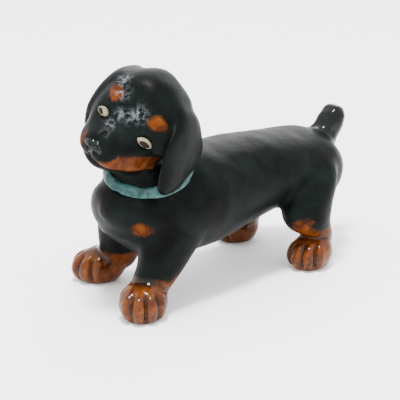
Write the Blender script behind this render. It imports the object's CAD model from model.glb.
# %% [markdown]
# # A pottery dachshund
#
# This lesson makes the looks of a small hand-built dog of glazed clay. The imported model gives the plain
# lumps and their places. The lesson presses them together the way a potter does, works the seams smooth,
# carves toes and lips, paints the glazes, and then cuts the result into the same pieces again.

# %% Load the model
import math

import bmesh
import bpy
import numpy as np
from mathutils import Matrix, Vector, noise
from mathutils.bvhtree import BVHTree


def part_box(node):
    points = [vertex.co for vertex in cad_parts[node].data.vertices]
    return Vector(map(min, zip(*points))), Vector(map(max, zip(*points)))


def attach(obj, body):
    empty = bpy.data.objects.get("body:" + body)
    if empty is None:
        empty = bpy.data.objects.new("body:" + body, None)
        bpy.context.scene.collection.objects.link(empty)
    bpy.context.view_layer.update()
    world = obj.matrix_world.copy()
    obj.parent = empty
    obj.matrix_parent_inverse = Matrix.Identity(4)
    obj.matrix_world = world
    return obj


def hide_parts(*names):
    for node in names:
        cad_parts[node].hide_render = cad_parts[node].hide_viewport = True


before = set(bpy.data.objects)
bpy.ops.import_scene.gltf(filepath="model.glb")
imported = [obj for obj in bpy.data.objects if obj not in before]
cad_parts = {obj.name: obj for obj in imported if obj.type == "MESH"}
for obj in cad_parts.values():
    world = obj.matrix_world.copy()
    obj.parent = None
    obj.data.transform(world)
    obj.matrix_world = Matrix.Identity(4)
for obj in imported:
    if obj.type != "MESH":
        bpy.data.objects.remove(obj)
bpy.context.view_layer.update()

MM = 0.001
print("pieces in the model:", len(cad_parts))

# %% [markdown]
# ## The camera
#
# A long lens far away keeps a small object's proportions, as a catalogue shot does. The camera is placed
# by its turn round the dog, its height angle and its distance, and aimed with a track quaternion, which
# is simpler than working out three angles by hand.

# %% Place the camera
CAMERA_TURN = math.radians(46.8)
CAMERA_RISE = math.radians(18.3)
CAMERA_DISTANCE = 484.7 * MM
LENS_MM = 188.6
TURN_ABOUT = Vector((0.0, 0.0, 22.0)) * MM
AIM_ASIDE, AIM_UP = -3.2 * MM, -4.8 * MM

away = Vector((
    math.sin(CAMERA_TURN) * math.cos(CAMERA_RISE),
    -math.cos(CAMERA_TURN) * math.cos(CAMERA_RISE),
    math.sin(CAMERA_RISE),
))
rightward = Vector((math.cos(CAMERA_TURN), math.sin(CAMERA_TURN), 0.0))
upward = away.cross(rightward)
stand = TURN_ABOUT + away * CAMERA_DISTANCE
aim = TURN_ABOUT + rightward * AIM_ASIDE + upward * AIM_UP

camera = bpy.data.objects.new("camera", bpy.data.cameras.new("camera"))
bpy.context.scene.collection.objects.link(camera)
camera.location = stand
camera.rotation_euler = (aim - stand).to_track_quat("-Z", "Y").to_euler()
camera.data.lens = LENS_MM
camera.data.sensor_width = 36.0
camera.data.clip_start = 0.01
bpy.context.scene.camera = camera
print("camera stands at", [round(value, 3) for value in stand])

# %% [markdown]
# ## The floor
#
# A plain pale sheet, as wide as a table, so that its far edge never shows. Black glaze has almost no colour
# of its own: the lower flanks mirror this floor, so its brightness is part of how the dog looks.

# %% Lay the floor
FLOOR_HALF = 3.0
floor_mesh = bpy.data.meshes.new("floor")
corner_signs = ((-1, -1), (1, -1), (1, 1), (-1, 1))
floor_corners = [(across * FLOOR_HALF, along * FLOOR_HALF, 0) for across, along in corner_signs]
floor_mesh.from_pydata(floor_corners, [], [(0, 1, 2, 3)])
floor = bpy.data.objects.new("floor", floor_mesh)
bpy.context.scene.collection.objects.link(floor)
floor_finish = bpy.data.materials.new("pale_floor")
floor_finish.use_nodes = True
floor_shader = floor_finish.node_tree.nodes["Principled BSDF"]
floor_shader.inputs["Base Color"].default_value = (0.95, 0.95, 0.95, 1.0)
floor_shader.inputs["Roughness"].default_value = 0.9
floor_mesh.materials.append(floor_finish)
print("floor is", 2 * FLOOR_HALF, "m wide")

# %% [markdown]
# ## The light
#
# A wide soft light behind the dog runs a pale sheen along the back and rump. A small lamp overhead puts
# sparks on the glossy paws, and a weak light from the front keeps the face readable. The white world fills
# in the rest and keeps the shadow soft.

# %% Hang the lights
WORLD_STRENGTH = 2.7
BACK_WATTS, OVERHEAD_WATTS, FRONT_WATTS = 12.0, 14.0, 0.5
LAMP_TARGET = Vector((0.0, 0.0, 20.0)) * MM
level_away = Vector((away.x, away.y, 0.0)).normalized()


def soft_light(name, where, size, watts):
    """A square area light at a place in metres, facing the dog."""
    data = bpy.data.lights.new(name, "AREA")
    data.size = size
    data.energy = watts
    lamp = bpy.data.objects.new(name, data)
    bpy.context.scene.collection.objects.link(lamp)
    lamp.location = where
    lamp.rotation_euler = (LAMP_TARGET - Vector(where)).to_track_quat("-Z", "Y").to_euler()


soft_light("back_softbox", level_away * -1.1 + rightward * 0.25 + Vector((0.0, 0.0, 0.75)), 0.9, BACK_WATTS)
soft_light("overhead_lamp", Vector((0.05, -0.12, 0.8)), 0.16, OVERHEAD_WATTS)
soft_light("front_fill", away * 1.2 - rightward * 0.7 + Vector((0.0, 0.0, 0.35)), 0.5, FRONT_WATTS)

world = bpy.data.worlds.new("studio")
world.use_nodes = True
world.node_tree.nodes["Background"].inputs["Color"].default_value = (1.0, 1.0, 1.0, 1.0)
world.node_tree.nodes["Background"].inputs["Strength"].default_value = WORLD_STRENGTH
bpy.context.scene.world = world

# %% [markdown]
# ## Pressing the lumps together
#
# The potter joins soft lumps of clay and wipes the joins away. In Blender a voxel remesh does the same:
# it turns touching solids into one skin of small even squares. The trunk is hollow and its vent would let
# the skin run inside, so a plug closes the vent a little way up, and only the outer skin is kept.

# %% Helpers for skins
CLAY_LUMPS = (
    "torso", "head", "ear_left", "ear_right", "foreleg_left", "foreleg_right", "hind_leg_left",
    "hind_leg_right", "paw_front_left", "paw_front_right", "paw_hind_left", "paw_hind_right", "tail",
)
PAWS = tuple(name for name in CLAY_LUMPS if name.startswith("paw"))


def skin_of(names, voxel, extra=()):
    """One remeshed skin round some nodes: its points in millimetres and its squares."""
    joined = bmesh.new()
    for name in names:
        joined.from_mesh(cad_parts[name].data)
    for mesh in extra:
        joined.from_mesh(mesh)
    mesh = bpy.data.meshes.new("joined")
    joined.to_mesh(mesh)
    joined.free()
    carrier = bpy.data.objects.new("joined", mesh)
    bpy.context.scene.collection.objects.link(carrier)
    remesh = carrier.modifiers.new("press", "REMESH")
    remesh.mode = "VOXEL"
    remesh.voxel_size = voxel * MM
    skin = bpy.data.meshes.new_from_object(carrier.evaluated_get(bpy.context.evaluated_depsgraph_get()))
    points = np.empty(len(skin.vertices) * 3)
    skin.vertices.foreach_get("co", points)
    squares = np.array([list(face.vertices) for face in skin.polygons if len(face.vertices) == 4])
    if len(squares) != len(skin.polygons):
        raise RuntimeError("the remesh gave faces that aren't squares")
    bpy.data.objects.remove(carrier)
    bpy.data.meshes.remove(skin)
    bpy.data.meshes.remove(mesh)
    return points.reshape(-1, 3) / MM, squares


def group_numbers(count, pairs):
    """Give linked things the same number: the lowest among them."""
    number = np.arange(count)
    while True:
        before = number.copy()
        lowest = np.minimum(number[pairs[:, 0]], number[pairs[:, 1]])
        np.minimum.at(number, pairs[:, 0], lowest)
        np.minimum.at(number, pairs[:, 1], lowest)
        number = number[number]
        if np.array_equal(number, before):
            return number


def edges_of(squares):
    """Every edge of some squares once, as pairs of point numbers."""
    sides = np.concatenate([squares[:, [0, 1]], squares[:, [1, 2]], squares[:, [2, 3]], squares[:, [3, 0]]])
    return np.unique(np.sort(sides, axis=1), axis=0)


def outer_skin(points, squares):
    """Only the largest connected skin."""
    number = group_numbers(len(points), edges_of(squares))
    values, counts = np.unique(number, return_counts=True)
    keep = number == values[counts.argmax()]
    renumber = np.cumsum(keep) - 1
    return points[keep], renumber[squares[keep[squares[:, 0]]]]


# %% [markdown]
# ## One skin
#
# The thirteen clay lumps go in together. The eyes, the nose and the collar stay out, because they are put
# on afterwards in other colours. A dab of slip, which is runny clay, fills the crack between the near cheek
# and its ear. The squares are small enough to carry a toe line half a millimetre wide.

# %% Press the lumps into one skin
CLAY_VOXEL = 0.3
VENT_AT = Vector((1.9, 0.2)) * MM
VENT_RADIUS, PLUG_LOW, PLUG_HIGH = 2.2 * MM, 11.4 * MM, 12.6 * MM
SLIP_AT, SLIP_RADII = Vector((12.4, -24.6, 40.4)) * MM, Vector((2.8, 3.2, 5.6)) * MM
SLIP_NOD = math.radians(-28.0)

plug_mesh = bpy.data.meshes.new("plug")
plug = bmesh.new()
bmesh.ops.create_cone(
    plug, cap_ends=True, segments=32, radius1=VENT_RADIUS, radius2=VENT_RADIUS, depth=PLUG_HIGH - PLUG_LOW,
    matrix=Matrix.Translation((VENT_AT.x, VENT_AT.y, (PLUG_LOW + PLUG_HIGH) / 2)),
)
plug.to_mesh(plug_mesh)
plug.free()
slip_mesh = bpy.data.meshes.new("slip")
slip = bmesh.new()
slip_turn = Matrix.Rotation(SLIP_NOD, 4, "X")
slip_place = Matrix.Translation(SLIP_AT) @ slip_turn @ Matrix.Diagonal((*SLIP_RADII, 1.0))
bmesh.ops.create_icosphere(slip, subdivisions=3, radius=1.0, matrix=slip_place)
slip.to_mesh(slip_mesh)
slip.free()
points, squares = outer_skin(*skin_of(CLAY_LUMPS, CLAY_VOXEL, extra=(plug_mesh, slip_mesh)))
for mesh in (plug_mesh, slip_mesh):
    bpy.data.meshes.remove(mesh)
print("clay skin:", len(points), "points,", len(squares), "squares")
print("from", points.min(axis=0).round(2), "to", points.max(axis=0).round(2), "mm")

# %% [markdown]
# ## Whose clay is it?
#
# Later the skin is cut into pieces again, and the seams need more smoothing than the rest. Both need the
# distance from each point to each lump. A BVH tree finds the nearest place on a mesh quickly, and it is
# asked only about lumps within reach.

# %% Measure to every lump
REACH = 5.0


def distances_to(name):
    """The distance from every point of the skin to a lump, up to REACH, in millimetres."""
    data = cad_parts[name].data
    corners = np.empty(len(data.vertices) * 3)
    data.vertices.foreach_get("co", corners)
    corners = corners.reshape(-1, 3) / MM
    tree = BVHTree.FromPolygons(corners.tolist(), [list(face.vertices) for face in data.polygons])
    near = ((points > corners.min(axis=0) - REACH) & (points < corners.max(axis=0) + REACH)).all(axis=1)
    distance = np.full(len(points), REACH)
    for index in np.flatnonzero(near):
        found = tree.find_nearest(points[index], REACH)[3]
        if found is not None:
            distance[index] = found
    return distance


to_lump = np.stack([distances_to(name) for name in CLAY_LUMPS], axis=1)
nearest_two = np.sort(to_lump, axis=1)[:, :2]
seam_gap = nearest_two[:, 1] - nearest_two[:, 0]
print("points within 1 mm of a seam:", int((seam_gap < 1.0).sum()))

# %% [markdown]
# ## Wiping the seams
#
# A wet finger drags clay into the corner between two lumps. Moving each point towards the middle of its
# neighbours does that, and how far it moves is set by how near it is to a seam, so the fillets form and
# the rest of the dog keeps its shape. The joints of the paws are wiped less, so a crease stays there.

# %% Smooth the seams
WIPE_REACH, WIPE_PASSES, WIPE_SHARE = 2.2, 60, 0.6
ALL_OVER_PASSES = 6
PAW_CREASE_KEPT = 0.75


def relax(points, squares, passes, share=0.5, weights=1.0):
    """Move every point towards the middle of its neighbours, a few times."""
    edges = edges_of(squares)
    neighbours = np.bincount(edges.ravel(), minlength=len(points))
    weights = np.broadcast_to(np.asarray(weights) * share, len(points))[:, None]
    for step in range(passes):
        middle = np.zeros_like(points)
        for axis in range(points.shape[1]):
            middle[:, axis] += np.bincount(edges[:, 0], points[edges[:, 1], axis], len(points))
            middle[:, axis] += np.bincount(edges[:, 1], points[edges[:, 0], axis], len(points))
        points = points + (middle / neighbours[:, None] - points) * weights
    return points


def is_near(*names):
    """1 for points whose nearest lump is one of these, else 0."""
    columns = [CLAY_LUMPS.index(name) for name in names]
    return np.isin(to_lump.argmin(axis=1), columns).astype(float)


wipe = np.exp(-((seam_gap / WIPE_REACH) ** 2)) * (1.0 - PAW_CREASE_KEPT * is_near(*PAWS))
points = relax(points, squares, WIPE_PASSES, WIPE_SHARE, wipe)
points = relax(points, squares, ALL_OVER_PASSES)
print("after wiping:", points.min(axis=0).round(2), "to", points.max(axis=0).round(2))

# %% [markdown]
# ## Tools for carving
#
# Four small functions are enough to carve with: the direction out of the skin, smooth noise, a soft oval
# mark that fades away from its middle, and a ramp that joins two levels without a step. A fifth finds the
# middle of a piece in the model, so that marks can be placed from it.

# %% Helpers for carving


def outward(points, squares):
    """The outward direction at every point of a skin."""
    one_way = points[squares[:, 2]] - points[squares[:, 0]]
    other_way = points[squares[:, 3]] - points[squares[:, 1]]
    facing = np.cross(one_way, other_way)
    total = np.zeros_like(points)
    for corner in range(4):
        for axis in range(3):
            total[:, axis] += np.bincount(squares[:, corner], facing[:, axis], len(points))
    return total / np.maximum(np.linalg.norm(total, axis=1), 1e-9)[:, None]


def swell(where, size, seed):
    """Smooth noise between about -1 and 1 at some places, with lumps of a size in millimetres."""
    shift = Vector((seed * 17.3, seed * 5.7, seed * 11.9))
    return np.array([noise.noise(Vector(place) / size + shift) for place in where])


def dab(where, middle, radii):
    """1 at the middle of a soft oval, falling to 0 outside it."""
    reach = (((where - np.array(middle)) / np.array(radii)) ** 2).sum(axis=1)
    return np.exp(-reach)


def ramp(values, start, end):
    """0 before start, 1 after end, and smooth between them."""
    share = np.clip((values - start) / (end - start), 0.0, 1.0)
    return share * share * (3.0 - 2.0 * share)


def middle_of(node):
    """The middle of a node's box, in millimetres."""
    low, high = (np.array(corner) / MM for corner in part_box(node))
    return (low + high) / 2


print("carving tools are ready; the tail's middle is", middle_of("tail").round(1))

# %% [markdown]
# ## The hand's unevenness
#
# Nothing on a hand-built dog is round. Smooth noise moves the skin in and out a little: broad swells from
# the palms, and smaller dabs from the fingertips, which are strongest on the stubby tail.

# %% Swell and dab the skin
PALM_SIZE, PALM_DEPTH = 13.0, 0.35
FINGER_SIZE, FINGER_DEPTH = 4.2, 0.14
TAIL_SIZE, TAIL_DEPTH = 2.3, 0.36
SOLES_KEPT, FULL_DEPTH_FROM = 0.3, 2.5

depth = PALM_DEPTH * swell(points, PALM_SIZE, 1) + FINGER_DEPTH * swell(points, FINGER_SIZE, 2)
depth += TAIL_DEPTH * is_near("tail") * swell(points, TAIL_SIZE, 3)
depth *= ramp(points[:, 2], SOLES_KEPT, FULL_DEPTH_FROM)
points = points + outward(points, squares) * depth[:, None]
print("deepest dab", depth.min().round(2), "mm, highest", depth.max().round(2), "mm")

# %% [markdown]
# ## The head's own axes
#
# The head is cocked, so its features are worked out in the head's own axes: x to the dog's left, -y out
# along the muzzle, z up through the crown. The skull's middle is given as a share of the head's box.

# %% Find the head's own axes
HEAD_TURN, HEAD_TILT = math.radians(17.0), math.radians(30.0)
SKULL_SHARE = np.array((0.458, 0.621, 0.471))
head_axes = np.array(Matrix.Rotation(HEAD_TURN, 3, "Z") @ Matrix.Rotation(HEAD_TILT, 3, "Y"))
head_low, head_high = (np.array(corner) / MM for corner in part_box("head"))
skull = head_low + (head_high - head_low) * SKULL_SHARE


def head_view(where):
    """Places in the head's own axes."""
    return (np.atleast_2d(where) - skull) @ head_axes


eye_spots = [head_view(middle_of(node))[0] for node in ("eye_left", "eye_right")]
nose_spot = head_view(middle_of("nose"))[0]
print("eyes at", [spot.round(1).tolist() for spot in eye_spots], "nose at", nose_spot.round(1))

# %% [markdown]
# ## The face
#
# Brows are soft swellings over the eyes, and the eyes sit in shallow hollows with a lower lid. The mouth is
# a line pulled with a tool. Under it the jaw is set back, so the upper lip throws a shadow, and a short
# cleft runs down from the nose. The near jowl is full, and the ear's root is filled out to the crown.

# %% Carve the face
BROW_RISE, SOCKET_DEPTH, LID_RISE, STOP_DEPTH = 0.6, 0.1, 0.2, 0.35
MOUTH_HEIGHT, MOUTH_DEPTH, MOUTH_WIDE = -6.9, 0.7, 0.45
JAW_SET_BACK, LIP_RISE, CLEFT_DEPTH = 0.6, 0.25, 0.5
JOWL_RISE, JOWL_AT, JOWL_RADII = 1.3, (6.0, -9.0, -7.0), (4.5, 5.0, 3.0)
EAR_ROOTS = ((1.3, (10.0, -14.0, 44.0), (4.0, 4.0, 4.0)), (1.0, (4.5, -19.5, 52.5), (3.5, 4.5, 3.0)))
STEP_AT, STEP_RADII, STEP_PASSES = (-0.6, -20.5, 53.0), (5.0, 6.0, 4.0), 160

local = head_view(points)
side, reach_out, height = np.abs(local[:, 0]), -local[:, 1], local[:, 2]
on_head = 1.0 - ramp(to_lump[:, CLAY_LUMPS.index("head")], 0.3, 1.5)
carve = -STOP_DEPTH * dab(local, (0.8, -11.5, 3.4), (1.9, 2.4, 2.2))
for spot in eye_spots:
    hand = math.copysign(1.0, spot[0])
    carve += BROW_RISE * dab(local, spot + (-0.4 * hand, 1.8, 4.4), (2.6, 2.8, 1.5))
    carve -= SOCKET_DEPTH * dab(local, spot, (3.2, 3.2, 2.2))
    carve += LID_RISE * dab(local, spot + (0.4 * hand, 0.4, -2.6), (2.4, 2.8, 0.9))
mouth_line = MOUTH_HEIGHT + 0.9 * ramp(side, 3.0, 8.0)
on_muzzle = ramp(reach_out, 4.5, 7.5)
carve -= MOUTH_DEPTH * np.exp(-(((height - mouth_line) / MOUTH_WIDE) ** 2)) * on_muzzle
carve -= JAW_SET_BACK * (1.0 - ramp(height, mouth_line - 0.9, mouth_line)) * on_muzzle
carve += LIP_RISE * np.exp(-(((height - mouth_line - 1.2) / 0.9) ** 2)) * on_muzzle
cleft = np.exp(-(((local[:, 0] - nose_spot[0]) / 0.4) ** 2)) * ramp(reach_out, 13.5, 15.0)
carve -= CLEFT_DEPTH * cleft * ramp(height, mouth_line, mouth_line + 0.6)
carve += JOWL_RISE * dab(local, JOWL_AT, JOWL_RADII)
points = points + outward(points, squares) * (carve * on_head)[:, None]
crown = sum(rise * dab(points, place, radii) for rise, place, radii in EAR_ROOTS)
points = points + outward(points, squares) * crown[:, None]
points = relax(points, squares, STEP_PASSES, WIPE_SHARE, dab(points, STEP_AT, STEP_RADII))
print("face carved between", carve.min().round(2), "and", carve.max().round(2), "mm")

# %% [markdown]
# ## The paws
#
# Toes are pressed with the edge of a tool, in lines that fan out from the ankle. Each paw points its own
# way, and the clay between two lines puffs up a little, as it does when it is squeezed.

# %% Press the toes
TOE_TURN = {"paw_front_left": 55.0, "paw_front_right": -6.0, "paw_hind_left": 22.0, "paw_hind_right": -14.0}
TOE_SPREAD, TOE_CUT, TOE_CUT_WIDE, TOE_PUFF = 27.0, 0.75, 0.42, 0.25
FAN_BACK = 1.8
LINES_FROM, LINES_DEEP = 3.2, 5.2
KNUCKLE_LOW, KNUCKLE_TOP, FULL_CUT_FROM = 5.6, 7.2, 1.4
groove = np.zeros(len(points))
puff = np.zeros(len(points))
for node, turn in TOE_TURN.items():
    heading = math.radians(turn)
    toward = np.array((math.sin(heading), -math.cos(heading)))
    across = np.array((math.cos(heading), math.sin(heading)))
    offset = points[:, :2] - middle_of(node)[:2] + toward * FAN_BACK
    ahead, aside = offset @ toward, offset @ across
    angle, reach = np.degrees(np.arctan2(aside, ahead)), np.hypot(ahead, aside)
    on_paw = 1.0 - ramp(to_lump[:, CLAY_LUMPS.index(node)], 0.4, 1.2)
    strength = on_paw * ramp(reach, LINES_FROM, LINES_DEEP) * ramp(points[:, 2], SOLES_KEPT, FULL_CUT_FROM)
    strength *= 1.0 - ramp(points[:, 2], KNUCKLE_LOW, KNUCKLE_TOP)
    for line in (-TOE_SPREAD, 0.0, TOE_SPREAD):
        groove += strength * np.exp(-((np.radians(angle - line) * reach / TOE_CUT_WIDE) ** 2))
    toes = np.cos(np.radians(angle / TOE_SPREAD * 360.0)) * -0.5 + 0.5
    puff += strength * toes * (np.abs(angle) < 2.0 * TOE_SPREAD)
points = points + outward(points, squares) * (TOE_PUFF * puff - TOE_CUT * groove)[:, None]
print("points in the toe lines:", int((groove > 0.5).sum()))

# %% [markdown]
# ## Flat soles
#
# The dog is set on a shelf while the clay is soft, so its soles are flat. A last light wipe takes the sharp
# edges off every mark, and nothing is left below the floor.

# %% Set the dog down
LAST_PASSES, LAST_SHARE = 2, 0.4
points = relax(points, squares, LAST_PASSES, LAST_SHARE)
points[:, 2] = np.maximum(points[:, 2], 0.0)
facing = outward(points, squares)
print("skin from", points.min(axis=0).round(2), "to", points.max(axis=0).round(2))

# %% [markdown]
# ## Where each glaze goes
#
# The whole dog is black with tan marks: the lips, two brow spots, a spot on the left of the chest, one on
# the left thigh, a faint one on the breast, the ankles and the paws. The marks are laid on as soft shares
# between 0 and 1, and the finish breaks their edges with noise, as a loaded brush does. Thick glaze is
# glossy, and it pools dark in the toe lines.

# %% Paint the marks
LIP_TOP_AT = (-17.0, -16.2, -14.6, -11.2, -5.6)
LIP_TOP = (-6.4, -5.0, -2.6, -2.1, -1.6)
CHEST_SPOT, CHEST_RADII = (10.5, -31.7, 19.6), (3.0, 3.0, 2.0)
THIGH_SPOT, THIGH_RADII = (15.8, 13.2, 11.2), (3.2, 3.2, 2.2)
OLIVE_SPOT, OLIVE_RADII = (0.9, -35.1, 23.4), (1.6, 1.6, 1.1)
FRONT_CUFF, HIND_CUFF = (5.5, 10.5), (7.5, 11.0)
BROW_SHARE, CHEST_SHARE, THIGH_SHARE, OLIVE_SHARE = 1.3, 0.9, 0.7, 0.5
BROW_OFFSET, BROW_RADII = (-0.1, 1.9, 4.6), (2.1, 2.4, 1.5)
TAIL_GLOSS, LIP_GLOSS = 0.8, 0.25
WORN_PLACES = (
    ((-6.4, -6.0, 7.8), 1.7), ((-4.0, -8.4, 6.6), 1.4), ((2.2, -9.2, 5.4), 1.5), ((0.9, -10.2, 4.2), 1.3),
    ((-1.4, -11.0, 3.4), 1.2), ((-1.8, -12.8, 1.6), 1.3),
)

local = head_view(points)
height, world_height = local[:, 2], points[:, 2]
lip_top = np.interp(local[:, 1], LIP_TOP_AT, LIP_TOP)
lips = ramp(height, mouth_line, mouth_line + 0.6) * (1.0 - ramp(height, lip_top - 1.5, lip_top + 1.1))
lips *= on_head * (1.0 - ramp(local[:, 1], -5.6, -4.0)) * ramp(local[:, 0], -6.0, -4.5)
lips *= np.maximum(ramp(np.abs(local[:, 0] - nose_spot[0]), 1.6, 3.2), ramp(local[:, 1], -15.5, -14.5))
brows = np.zeros(len(points))
for spot in eye_spots:
    brows += BROW_SHARE * dab(local, spot + BROW_OFFSET, BROW_RADII) * on_head
front = 1.0 - ramp(world_height, *FRONT_CUFF)
hind = 1.0 - ramp(world_height, *HIND_CUFF)
legs = np.where(points[:, 1] < 0.0, front, hind)
spots = CHEST_SHARE * dab(points, CHEST_SPOT, CHEST_RADII)
spots += THIGH_SHARE * dab(points, THIGH_SPOT, THIGH_RADII)
spots += OLIVE_SHARE * dab(points, OLIVE_SPOT, OLIVE_RADII)
tan = np.clip(lips + brows + legs + spots, 0.0, 1.0)

on_paws = 1.0 - ramp(to_lump[:, [CLAY_LUMPS.index(name) for name in PAWS]].min(axis=1), 0.3, 1.6)
gloss = np.clip(on_paws + TAIL_GLOSS * is_near("tail") + LIP_GLOSS * lips, 0.0, 1.0)
ankle = np.exp(-((seam_gap / 1.3) ** 2)) * on_paws * ramp(world_height, 4.0, 6.0)
under_lip = np.exp(-(((height - mouth_line + 0.2) / 0.5) ** 2)) * on_muzzle * on_head
dark = np.clip(groove + 0.8 * ankle + under_lip, 0.0, 1.0)
wear = np.zeros(len(points))
for place, size in WORN_PLACES:
    wear = np.maximum(wear, dab(local, place, (size, size, size)) * on_head)
paint = {"tan": tan, "gloss": gloss, "dark": dark, "wear": wear}
print("share of the skin that is tan:", round(float(tan.mean()), 3))

# %% [markdown]
# ## Cutting the skin into pieces
#
# The library keeps each subcomponent separate, so the finished skin is cut where one lump's clay gives way
# to the next. Each square goes to the lump it is nearest to. Stray patches, and places where a patch only
# touches itself at one point, are given to their neighbour, so that every cut is one clean loop.

# %% Share out the squares
SHARE_PASSES, MOST_SWEEPS = 8, 30
sides = np.concatenate([squares[:, [0, 1]], squares[:, [1, 2]], squares[:, [2, 3]], squares[:, [3, 0]]])
side_of = np.tile(np.arange(len(squares)), 4)
ends = np.sort(sides, axis=1)
order = np.lexsort((ends[:, 0], ends[:, 1]))
sorted_sides = ends[order]
same = (sorted_sides[1:] == sorted_sides[:-1]).all(axis=1)
touching = np.stack([side_of[order[:-1]][same], side_of[order[1:]][same]], axis=1)
shared_side = sorted_sides[:-1][same]
owner = relax(to_lump, squares, SHARE_PASSES)[squares].mean(axis=1).argmin(axis=1)


def give_away(chosen):
    """Give some squares to the owner they touch most."""
    votes = np.zeros((len(squares), len(CLAY_LUMPS)))
    for first, second in ((0, 1), (1, 0)):
        from_other = ~chosen[touching[:, second]]
        np.add.at(votes, (touching[from_other, first], owner[touching[from_other, second]]), 1)
    ready = chosen & (votes.sum(axis=1) > 0)
    owner[ready] = votes[ready].argmax(axis=1)
    return int(ready.sum())


def strays():
    """Squares that aren't in their owner's largest patch."""
    inside = touching[owner[touching[:, 0]] == owner[touching[:, 1]]]
    patch = group_numbers(len(squares), inside)
    stray = np.ones(len(squares), dtype=bool)
    for number in range(len(CLAY_LUMPS)):
        mine = np.flatnonzero(owner == number)
        values, counts = np.unique(patch[mine], return_counts=True)
        stray[mine[patch[mine] == values[counts.argmax()]]] = False
    return stray


def pinched():
    """Squares of one owner round a point where that owner's border passes twice."""
    owners = owner[touching]
    on_border = owners[:, 0] != owners[:, 1]
    border, owners = shared_side[on_border], owners[on_border]
    crossings = np.zeros((len(points), len(CLAY_LUMPS)), dtype=int)
    for end in (0, 1):
        np.add.at(crossings, (border[:, end], owners[:, 0]), 1)
        np.add.at(crossings, (border[:, end], owners[:, 1]), 1)
    at_point = crossings[squares] > 2
    return at_point[np.arange(len(squares)), :, owner].any(axis=1)


for sweep in range(MOST_SWEEPS):
    moved = give_away(strays()) + give_away(pinched())
    if moved == 0:
        break
print("sweeps:", sweep, "squares each:", dict(zip(CLAY_LUMPS, np.bincount(owner).tolist())))

# %% [markdown]
# ## Glaze that behaves like glaze
#
# One recipe serves every part of the clay. Its colour is a noisy black or a noisy tan, its roughness
# wanders where the brush left it thin, and a clear coat lies over the glossy parts. A fine bump keeps the
# highlights from looking machined.

# %% Helpers for finishes


def feed(tree, socket, value):
    """Link a socket to another, or set it to a constant."""
    if isinstance(value, bpy.types.NodeSocket):
        tree.links.new(value, socket)
    else:
        socket.default_value = value


def speckle(tree, size_mm, seed, detail=4.0, distortion=0.0):
    """A noise between 0 and 1 with features of a size in millimetres."""
    node = tree.nodes.new("ShaderNodeTexNoise")
    node.noise_dimensions = "4D"
    place = tree.nodes.new("ShaderNodeTexCoord")
    feed(tree, node.inputs["Vector"], place.outputs["Object"])
    feed(tree, node.inputs["W"], seed)
    feed(tree, node.inputs["Scale"], 1.0 / (size_mm * MM))
    feed(tree, node.inputs["Detail"], detail)
    feed(tree, node.inputs["Distortion"], distortion)
    return node.outputs[0]


def mark(tree, name):
    """One of the painted shares."""
    node = tree.nodes.new("ShaderNodeAttribute")
    node.attribute_name = name
    return node.outputs["Fac"]


def combine(tree, operation, first, second, third=0.0):
    """Arithmetic on two or three numbers."""
    node = tree.nodes.new("ShaderNodeMath")
    node.operation = operation
    for socket, value in zip(node.inputs, (first, second, third)):
        feed(tree, socket, value)
    return node.outputs[0]


def stretch(tree, value, low, high, new_low=0.0, new_high=1.0):
    """Spread a range of values over another range, clamped."""
    node = tree.nodes.new("ShaderNodeMapRange")
    for name, number in (("From Min", low), ("From Max", high), ("To Min", new_low), ("To Max", new_high)):
        feed(tree, node.inputs[name], number)
    feed(tree, node.inputs["Value"], value)
    return node.outputs["Result"]


def blend(tree, share, first, second):
    """A colour between two colours."""
    node = tree.nodes.new("ShaderNodeMix")
    node.data_type = "RGBA"
    feed(tree, node.inputs[0], share)
    feed(tree, node.inputs[6], first if isinstance(first, bpy.types.NodeSocket) else (*first, 1.0))
    feed(tree, node.inputs[7], second if isinstance(second, bpy.types.NodeSocket) else (*second, 1.0))
    return node.outputs[2]


MIRROR, COAT_ROUGHNESS = 0.04, 0.07


def new_finish(name, colour, roughness, coat, bump_mm, bump_size_mm):
    """A glazed finish, with the parts that every glaze here has."""
    finish = bpy.data.materials.new(name)
    finish.use_nodes = True
    tree = finish.node_tree
    shader = tree.nodes["Principled BSDF"]
    feed(tree, shader.inputs["Base Color"], colour(tree))
    feed(tree, shader.inputs["Roughness"], roughness(tree))
    feed(tree, shader.inputs["Coat Weight"], coat(tree))
    feed(tree, shader.inputs["Coat Roughness"], COAT_ROUGHNESS)
    feed(tree, shader.inputs["Specular IOR Level"], MIRROR)
    bump = tree.nodes.new("ShaderNodeBump")
    feed(tree, bump.inputs["Strength"], 1.0)
    feed(tree, bump.inputs["Distance"], bump_mm * MM)
    feed(tree, bump.inputs["Height"], speckle(tree, bump_size_mm, 9.0, 5.0))
    feed(tree, shader.inputs["Normal"], bump.outputs["Normal"])
    return finish


print("finish tools are ready")

# %% [markdown]
# ## The black and tan glazes
#
# Black glaze fires to a greenish charcoal with rusty freckles. Tan fires from orange to chestnut, darker
# where it is thick. Worn places show the pale clay through, in crumbs. The paws, the tail and the body get
# the same recipe under three names, because the library repaints them one slot at a time.

# %% Mix the black and tan glazes
CHARCOAL, GREEN_BLACK, RUST = (0.0010, 0.0010, 0.0011), (0.0030, 0.0055, 0.0048), (0.014, 0.004, 0.003)
ORANGE, CHESTNUT, UMBER = (0.115, 0.030, 0.0035), (0.040, 0.0085, 0.0016), (0.006, 0.002, 0.001)
BARE_CLAY = (0.16, 0.17, 0.19)


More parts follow.
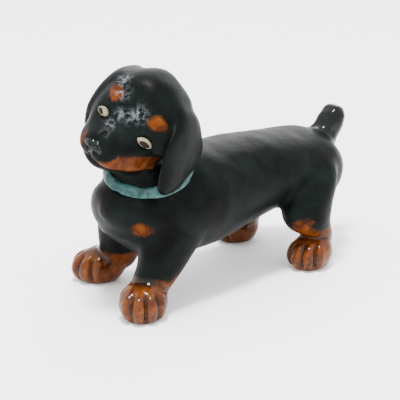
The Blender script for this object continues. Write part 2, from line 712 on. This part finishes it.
def clay_colour(tree):
    """Black with tan marks, dark lines and worn places."""
    black = blend(tree, stretch(tree, speckle(tree, 7.0, 1.0, 5.0, 0.6), 0.35, 0.65), CHARCOAL, GREEN_BLACK)
    black = blend(tree, stretch(tree, speckle(tree, 2.2, 2.0), 0.62, 0.78, 0.0, 0.7), black, RUST)
    tan = blend(tree, stretch(tree, speckle(tree, 3.0, 3.0, 4.0, 0.8), 0.38, 0.66), CHESTNUT, ORANGE)
    tan = blend(tree, stretch(tree, speckle(tree, 1.8, 4.0), 0.58, 0.74, 0.0, 0.75), tan, UMBER)
    wobble = combine(tree, "MULTIPLY_ADD", speckle(tree, 1.8, 5.0), 0.9, -0.45)
    edge = stretch(tree, combine(tree, "ADD", mark(tree, "tan"), wobble), 0.3, 0.7)
    colour = blend(tree, edge, black, tan)
    colour = blend(tree, combine(tree, "MULTIPLY", mark(tree, "dark"), 0.85), colour, UMBER)
    crumbs = combine(tree, "MULTIPLY", mark(tree, "wear"), stretch(tree, speckle(tree, 0.7, 6.0), 0.45, 0.6))
    return blend(tree, combine(tree, "MULTIPLY", crumbs, 0.7), colour, BARE_CLAY)


def clay_roughness(tree):
    """Satin on the body and shiny where the glaze is thick."""
    base = stretch(tree, mark(tree, "gloss"), 0.0, 1.0, 0.40, 0.16)
    uneven = combine(tree, "MULTIPLY_ADD", speckle(tree, 3.5, 7.0, 6.0, 1.0), 0.2, -0.1)
    worn = mark(tree, "wear")
    return combine(tree, "ADD", combine(tree, "ADD", base, uneven), combine(tree, "MULTIPLY", worn, 0.2))


def clay_coat(tree):
    """A clear coat over the glossy parts."""
    return stretch(tree, mark(tree, "gloss"), 0.0, 1.0, 0.0, 0.28)


clay_finish = {
    name: new_finish(name, clay_colour, clay_roughness, clay_coat, 0.09, 1.3)
    for name in ("black_glaze", "tan_glaze", "gloss_glaze")
}
print("glazes:", sorted(clay_finish))

# %% [markdown]
# ## The clay pieces
#
# Each piece takes its squares from the skin, and its open ends are closed, so it is a solid lump again. The
# shading directions come from the whole skin, so no line shows where two pieces meet.

# %% Make the clay pieces
SLOT_OF = {name: "tan_glaze" for name in PAWS} | {"tail": "gloss_glaze"}


def new_piece(name, mesh, slot, finish, *nodes):
    """Put a mesh in the scene as a named piece that stands for some nodes."""
    mesh.materials.append(finish)
    piece = bpy.data.objects.new(name, mesh)
    bpy.context.scene.collection.objects.link(piece)
    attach(piece, "root")
    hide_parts(*nodes)


def cut_piece(number):
    """One lump's part of the skin, closed at its cuts."""
    mine = squares[owner == number]
    used, renumbered = np.unique(mine, return_inverse=True)
    mesh = bpy.data.meshes.new(CLAY_LUMPS[number])
    mesh.from_pydata((points[used] * MM).tolist(), [], renumbered.reshape(-1, 4).tolist())
    solid = bmesh.new()
    solid.from_mesh(mesh)
    rims = [edge for edge in solid.edges if edge.is_boundary]
    caps = bmesh.ops.holes_fill(solid, edges=rims, sides=0)["faces"]
    bmesh.ops.triangulate(solid, faces=caps, ngon_method="EAR_CLIP")
    solid.to_mesh(mesh)
    open_edges = sum(1 for edge in solid.edges if not edge.is_manifold)
    solid.free()
    for name, shares in paint.items():
        mesh.attributes.new(name, "FLOAT", "POINT").data.foreach_set("value", shares[used])
    directions = []
    for face in mesh.polygons:
        if len(face.vertices) == 4:
            directions.extend(facing[used[list(face.vertices)]].tolist())
        else:
            directions.extend([tuple(face.normal)] * len(face.vertices))
    mesh.polygons.foreach_set("use_smooth", [True] * len(mesh.polygons))
    mesh.normals_split_custom_set(directions)
    return mesh, open_edges


for number, name in enumerate(CLAY_LUMPS):
    mesh, open_edges = cut_piece(number)
    slot = SLOT_OF.get(name, "black_glaze")
    new_piece(name + "_glazed", mesh, slot, clay_finish[slot], name)
    print(name, "faces:", len(mesh.polygons), "open edges:", open_edges)

# %% [markdown]
# ## The collar
#
# A soft strip of clay is laid round the neck and pressed on with a finger, so it follows the neck and its
# edges waver. Rays from the middle of the ring find the neck, and a flat oval section is set on it there.

# %% Lay the collar
COLLAR_TILT, COLLAR_NOD = math.radians(18.0), math.radians(9.0)
COLLAR_STEPS, SECTION_STEPS = 220, 20
STRIP_OUT, STRIP_HALF, STRIP_LIFT = 0.55, 1.0, 0.3
NECK_LEAST, NECK_MOST = 6.0, 10.2
NAPE_RISE, NAPE_TURN = 1.0, math.radians(50.0)
EVEN_PASSES, EVEN_STEP = 12, 3
collar_axes = np.array(Matrix.Rotation(COLLAR_TILT, 3, "Y") @ Matrix.Rotation(COLLAR_NOD, 3, "X"))
ring = middle_of("collar")
clay_tree = BVHTree.FromPolygons(points.tolist(), squares.tolist())
turns = np.arange(COLLAR_STEPS) * 2.0 * math.pi / COLLAR_STEPS
rounds = np.arange(SECTION_STEPS) * 2.0 * math.pi / SECTION_STEPS
rows = STRIP_HALF * np.sign(np.sin(rounds)) * np.abs(np.sin(rounds)) ** 0.8
outs = STRIP_OUT * np.cos(rounds)
neck = np.zeros((COLLAR_STEPS, SECTION_STEPS))
spoke = np.stack([np.cos(turns), np.sin(turns), np.zeros(COLLAR_STEPS)], axis=1)
nape_rise = NAPE_RISE * (0.5 + 0.5 * np.cos(turns - NAPE_TURN)) ** 1.5
for step in range(COLLAR_STEPS):
    for slice_number in range(SECTION_STEPS):
        start = ring + collar_axes @ np.array((0.0, 0.0, rows[slice_number] + nape_rise[step]))
        hit = clay_tree.ray_cast(Vector(start), Vector(collar_axes @ spoke[step]))[3]
        neck[step, slice_number] = NECK_MOST if hit is None else min(max(hit, NECK_LEAST), NECK_MOST)
for step in range(EVEN_PASSES):
    neck = (np.roll(neck, EVEN_STEP, axis=0) + np.roll(neck, -EVEN_STEP, axis=0) + neck) / 3.0
ripple = np.array([noise.noise(Vector(direction) * 2.6) for direction in spoke])
pinch = np.array([noise.noise(Vector(direction) * 5.0 + Vector((3.0, 1.0, 7.0))) for direction in spoke])
far_out = neck + STRIP_LIFT + outs[None, :] * (1.0 + 0.4 * pinch[:, None])
up = rows[None, :] * (1.0 + 0.3 * ripple[:, None]) + (0.2 * pinch + nape_rise)[:, None]
collar_points = np.concatenate([far_out[:, :, None] * spoke[:, None, :2], up[:, :, None]], axis=2)
collar_points = ring + collar_points.reshape(-1, 3) @ collar_axes.T
collar_squares = []
for step in range(COLLAR_STEPS):
    for slice_number in range(SECTION_STEPS):
        here, there = step * SECTION_STEPS, (step + 1) % COLLAR_STEPS * SECTION_STEPS
        above = (slice_number + 1) % SECTION_STEPS
        collar_squares.append((here + slice_number, there + slice_number, there + above, here + above))
print("collar squares:", len(collar_squares), "neck radius:", neck.min().round(1), "to", neck.max().round(1))

# %% [markdown]
# ## Teal glaze
#
# The collar's teal is thin: it is paler on the ridge of the strip and darker where it pools, and a little
# black shows where the brush missed.

# %% Glaze the collar
TEAL_DARK, TEAL, TEAL_PALE = (0.004, 0.013, 0.014), (0.012, 0.046, 0.045), (0.032, 0.090, 0.085)


def smooth_mesh(name, points, squares):
    """A smooth-shaded mesh from points in millimetres."""
    mesh = bpy.data.meshes.new(name)
    mesh.from_pydata((np.asarray(points) * MM).tolist(), [], np.asarray(squares).tolist())
    mesh.polygons.foreach_set("use_smooth", [True] * len(mesh.polygons))
    return mesh


def teal_colour(tree):
    """Teal, paler and darker in streaks."""
    colour = blend(tree, stretch(tree, speckle(tree, 2.4, 1.5, 5.0, 0.8), 0.4, 0.62), TEAL, TEAL_PALE)
    return blend(tree, stretch(tree, speckle(tree, 1.5, 2.5), 0.56, 0.7, 0.0, 0.85), colour, TEAL_DARK)


teal_finish = new_finish(
    "teal_glaze", teal_colour, lambda tree: stretch(tree, speckle(tree, 2.0, 3.5), 0.3, 0.7, 0.24, 0.42),
    lambda tree: 0.35, 0.12, 1.1,
)
collar_mesh = smooth_mesh("collar", collar_points, collar_squares)
new_piece("collar_teal_strip", collar_mesh, "teal_glaze", teal_finish, "collar")
print("collar's middle:", collar_points.mean(axis=0).round(1), "mm")

# %% [markdown]
# ## The nose
#
# A pellet of clay pressed on the end of the muzzle, with two nostrils pricked by a needle and a faint line
# between them. It has the thick shiny black of the tail.

# %% Model the nose
NOSE_VOXEL, NOSTRIL_OUT, NOSTRIL_DEPTH = 0.16, 1.15, 0.55
nose_points, nose_squares = outer_skin(*skin_of(("nose",), NOSE_VOXEL))
nose_points = relax(nose_points, nose_squares, 8)
nose_local = head_view(nose_points) - nose_spot
nose_cut = 0.3 * np.exp(-((nose_local[:, 0] / 0.3) ** 2)) * ramp(-nose_local[:, 1], 0.6, 1.6)
for hand in (-1.0, 1.0):
    nose_cut += NOSTRIL_DEPTH * dab(nose_local, (NOSTRIL_OUT * hand, -1.9, -0.5), (0.6, 1.2, 0.45))
nose_cut -= 0.12 * swell(nose_points, 1.6, 5)
nose_points = nose_points - outward(nose_points, nose_squares) * nose_cut[:, None]
nose_mesh = smooth_mesh("nose", relax(nose_points, nose_squares, 1, 0.3), nose_squares)
nose_paint = {"tan": 0.0, "gloss": 0.9, "dark": 0.0, "wear": 0.1}
for name, share in nose_paint.items():
    nose_mesh.attributes.new(name, "FLOAT", "POINT").data.foreach_set("value", [share] * len(nose_points))
new_piece("nose_button", nose_mesh, "gloss_glaze", clay_finish["gloss_glaze"], "nose")
print("nose faces:", len(nose_squares))

# %% [markdown]
# ## The eyes
#
# Each eye is an almond pellet, painted cream, with a dark brown middle that leaves a thin pale ring. The
# ring is raised a little, because the cream is laid on thick. An eye's own long and short axes are read
# from the spread of its points.

# %% Model the eyes
EYE_VOXEL, ALMOND, NARROWED, RING_RISE, MIDDLE_SHARE = 0.09, 0.3, 0.8, 0.08, 0.68
RING_AT, RING_WIDE, RING_SOFT, EYE_PASSES = 0.75, 0.15, 0.08, 5
EYE_TURN = math.radians(13.0)
CREAM, CREAM_SHADE = (0.20, 0.185, 0.115), (0.09, 0.082, 0.045)
EYE_BROWN, EYE_BLACK = (0.010, 0.003, 0.002), (0.002, 0.0015, 0.0015)


def eye_colour(tree):
    """Cream at the ring and dark brown in the middle."""
    cream = blend(tree, stretch(tree, speckle(tree, 0.6, 1.0), 0.45, 0.7), CREAM, CREAM_SHADE)
    brown = blend(tree, stretch(tree, speckle(tree, 0.5, 2.0), 0.4, 0.6), EYE_BLACK, EYE_BROWN)
    wobble = combine(tree, "MULTIPLY_ADD", speckle(tree, 0.7, 3.0), 0.3, -0.15)
    edge = stretch(tree, combine(tree, "ADD", mark(tree, "ring"), wobble), 0.42, 0.58)
    return blend(tree, edge, brown, cream)


eye_finish = new_finish(
    "eye_enamel", eye_colour, lambda tree: stretch(tree, speckle(tree, 0.8, 4.0), 0.3, 0.7, 0.16, 0.32),
    lambda tree: 0.1, 0.03, 0.5,
)
for node in ("eye_left", "eye_right"):
    eye_points, eye_squares = outer_skin(*skin_of((node,), EYE_VOXEL))
    eye_points = relax(eye_points, eye_squares, EYE_PASSES)
    centre = eye_points.mean(axis=0)
    axes = np.linalg.eigh(np.cov((eye_points - centre).T))[1]
    eye_local = (eye_points - centre) @ axes
    half = np.abs(eye_local).max(axis=0)
    long_share = np.abs(eye_local[:, 2]) / half[2]
    rim = np.hypot(eye_local[:, 1] / half[1], eye_local[:, 2] / half[2])
    eye_local[:, 1] *= NARROWED * (1.0 - ALMOND * long_share ** 1.6)
    rise = RING_RISE * np.exp(-(((rim - RING_AT) / RING_WIDE) ** 2))
    eye_local[:, 0] += np.sign(eye_local[:, 0]) * rise
    look = Vector(centre - skull).normalized()
    eye_turn = np.array(Matrix.Rotation(math.copysign(EYE_TURN, head_view(centre)[0, 0]), 3, look))
    eye_mesh = smooth_mesh(node, centre + eye_local @ axes.T @ eye_turn.T, eye_squares)
    ring_share = ramp(rim, MIDDLE_SHARE - RING_SOFT, MIDDLE_SHARE + RING_SOFT)
    eye_mesh.attributes.new("ring", "FLOAT", "POINT").data.foreach_set("value", ring_share)
    new_piece(node + "_almond", eye_mesh, "eye_enamel", eye_finish, node)
    print(node, "half sizes", half.round(2), "mm, faces:", len(eye_squares))
